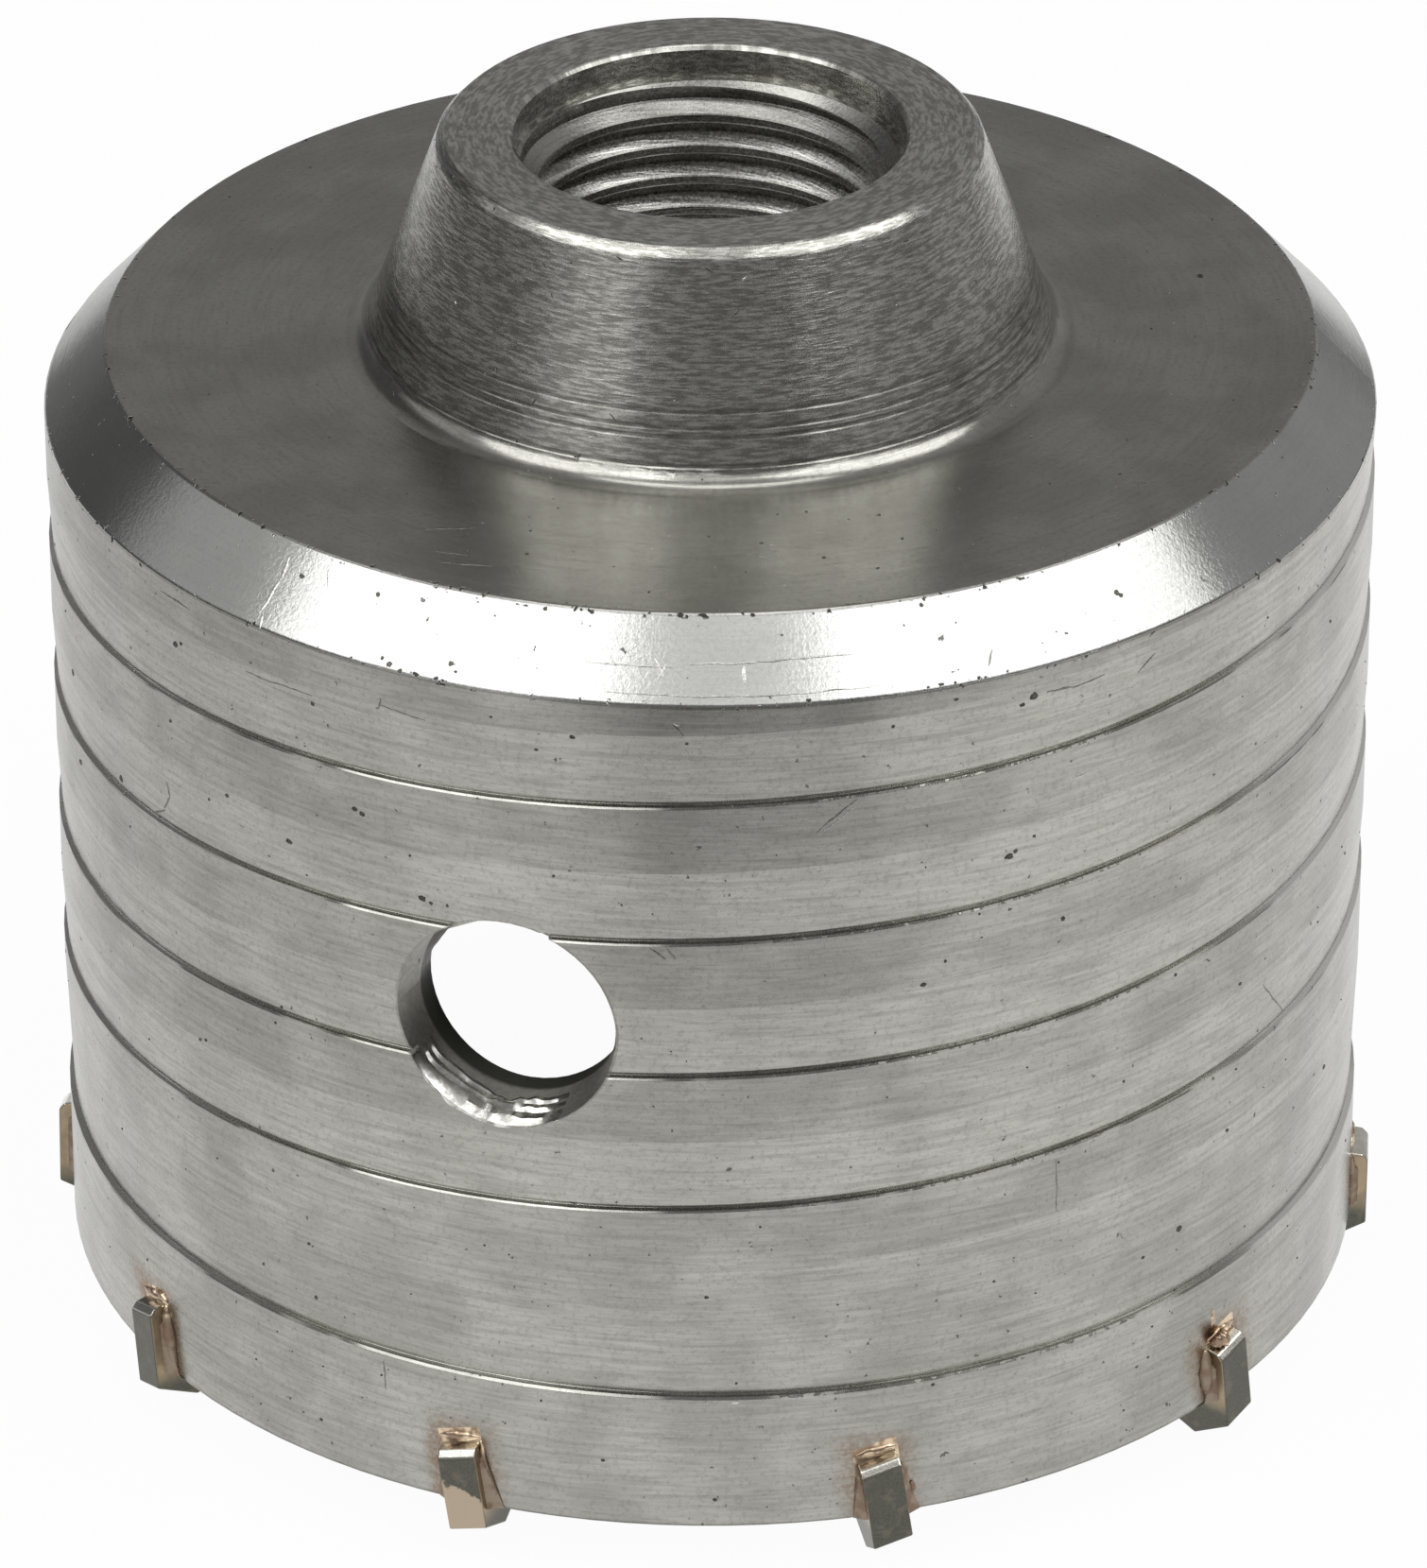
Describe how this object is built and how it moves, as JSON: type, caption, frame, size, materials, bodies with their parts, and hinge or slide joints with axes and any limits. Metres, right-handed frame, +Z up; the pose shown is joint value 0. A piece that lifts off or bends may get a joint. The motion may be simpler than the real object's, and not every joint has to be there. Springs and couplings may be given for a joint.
{
  "type": "hole saw",
  "caption": "Masonry hole saw: a turned steel cup with a tapered threaded hub, helical wall groove, side hole and brazed carbide tips.",
  "frame": {"origin": "on the saw's axis, in the plane that the lowest points of the carbide tips stand on", "axes": "+Z up the axis from the tips to the hub; the side hole looks towards -Y, a little to -X"},
  "size_m": [0.08, 0.0782, 0.074],
  "materials": {
    "turned_steel": "turned, satin, with small pits",
    "carbide": "dull sintered carbide",
    "braze": "brazing filler, partly tarnished"
  },
  "bodies": {
    "root": {"body": "turned_steel", "tip_01": "carbide", "tip_02": "carbide", "tip_03": "carbide", "tip_04": "carbide", "tip_05": "carbide", "tip_06": "carbide", "tip_07": "carbide", "tip_08": "carbide", "tip_09": "carbide", "tip_10": "carbide", "braze_01": "braze", "braze_02": "braze", "braze_03": "braze", "braze_04": "braze", "braze_05": "braze", "braze_06": "braze", "braze_07": "braze", "braze_08": "braze", "braze_09": "braze", "braze_10": "braze"}
  },
  "joints": []
}
